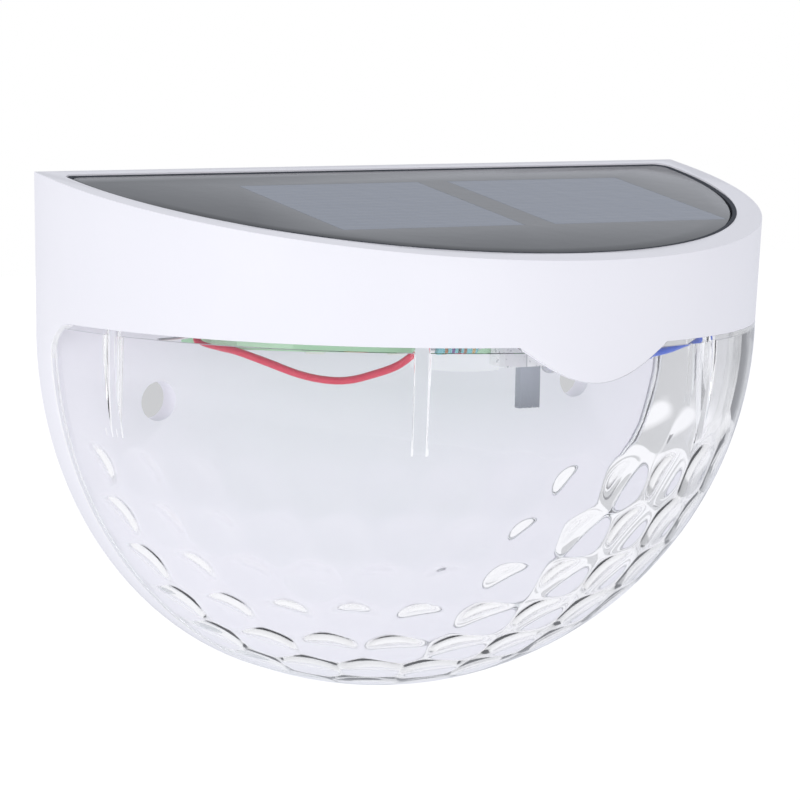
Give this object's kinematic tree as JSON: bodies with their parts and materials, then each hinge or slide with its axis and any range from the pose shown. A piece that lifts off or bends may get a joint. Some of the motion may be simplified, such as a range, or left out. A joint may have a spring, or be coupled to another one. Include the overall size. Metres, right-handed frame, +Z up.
{
  "type": "solar wall sconce",
  "caption": "Half-round solar wall light: white hood with a sloping solar panel on top, a clear dimpled quarter-sphere lens below, and a flat plate that screws to the wall.",
  "frame": {"origin": "midway between the two wall screws, on the wall plane", "axes": "+X across the wall to the right as seen from the front, +Y into the wall, +Z up; the wall is the plane Y = 0 and the lamp stands out towards -Y"},
  "size_m": [0.1296, 0.069, 0.088],
  "materials": {
    "white_plastic": "satin moulded",
    "clear_plastic": "clear polished",
    "panel_grey": "clear resin over grey",
    "cell_silicon": "fine lines under resin",
    "dark_sealant": "matt",
    "foam_tape": "matt foam",
    "board_green": "satin",
    "led_yellow": "gloss",
    "resistor_teal": "gloss lacquer with colour bands",
    "chip_black": "matt",
    "ferrite": "matt",
    "switch_grey": "satin",
    "tinned_metal": "tinned",
    "lever_grey": "satin",
    "battery_green": "shrink wrap",
    "wire_red": "satin",
    "wire_blue": "satin",
    "wire_black": "satin"
  },
  "bodies": {
    "wall": {"wall_plate": "white_plastic"},
    "lamp": {"hood": "white_plastic", "lens": "clear_plastic", "solar_laminate": "panel_grey", "solar_cell_left": "cell_silicon", "solar_cell_right": "cell_silicon", "panel_seal": "dark_sealant", "panel_tape": "foam_tape", "led_board": "board_green", "led_1": "led_yellow", "led_2": "led_yellow", "led_3": "led_yellow", "led_4": "led_yellow", "led_5": "led_yellow", "led_6": "led_yellow", "resistor": "resistor_teal", "driver_chip": "chip_black", "inductor": "ferrite", "switch_body": "switch_grey", "switch_terminals": "tinned_metal", "battery": "battery_green", "battery_button": "tinned_metal", "battery_tabs": "tinned_metal", "battery_tape": "foam_tape", "board_screws": "tinned_metal", "solder_joints": "tinned_metal", "board_lead_red": "wire_red", "panel_wire_red": "wire_red", "panel_wire_blue": "wire_blue", "battery_wire_red": "wire_red", "battery_wire_black": "wire_black"},
    "lever": {"switch_lever": "lever_grey"}
  },
  "joints": [
    {"name": "lamp_release", "type": "slide", "parent": "wall", "child": "lamp", "axis": [0, -1, 0], "range_m": [0, 0.04]},
    {"name": "switch_slide", "type": "slide", "parent": "lamp", "child": "lever", "axis": [-1, 0, 0], "range_m": [0, 0.004]}
  ]
}
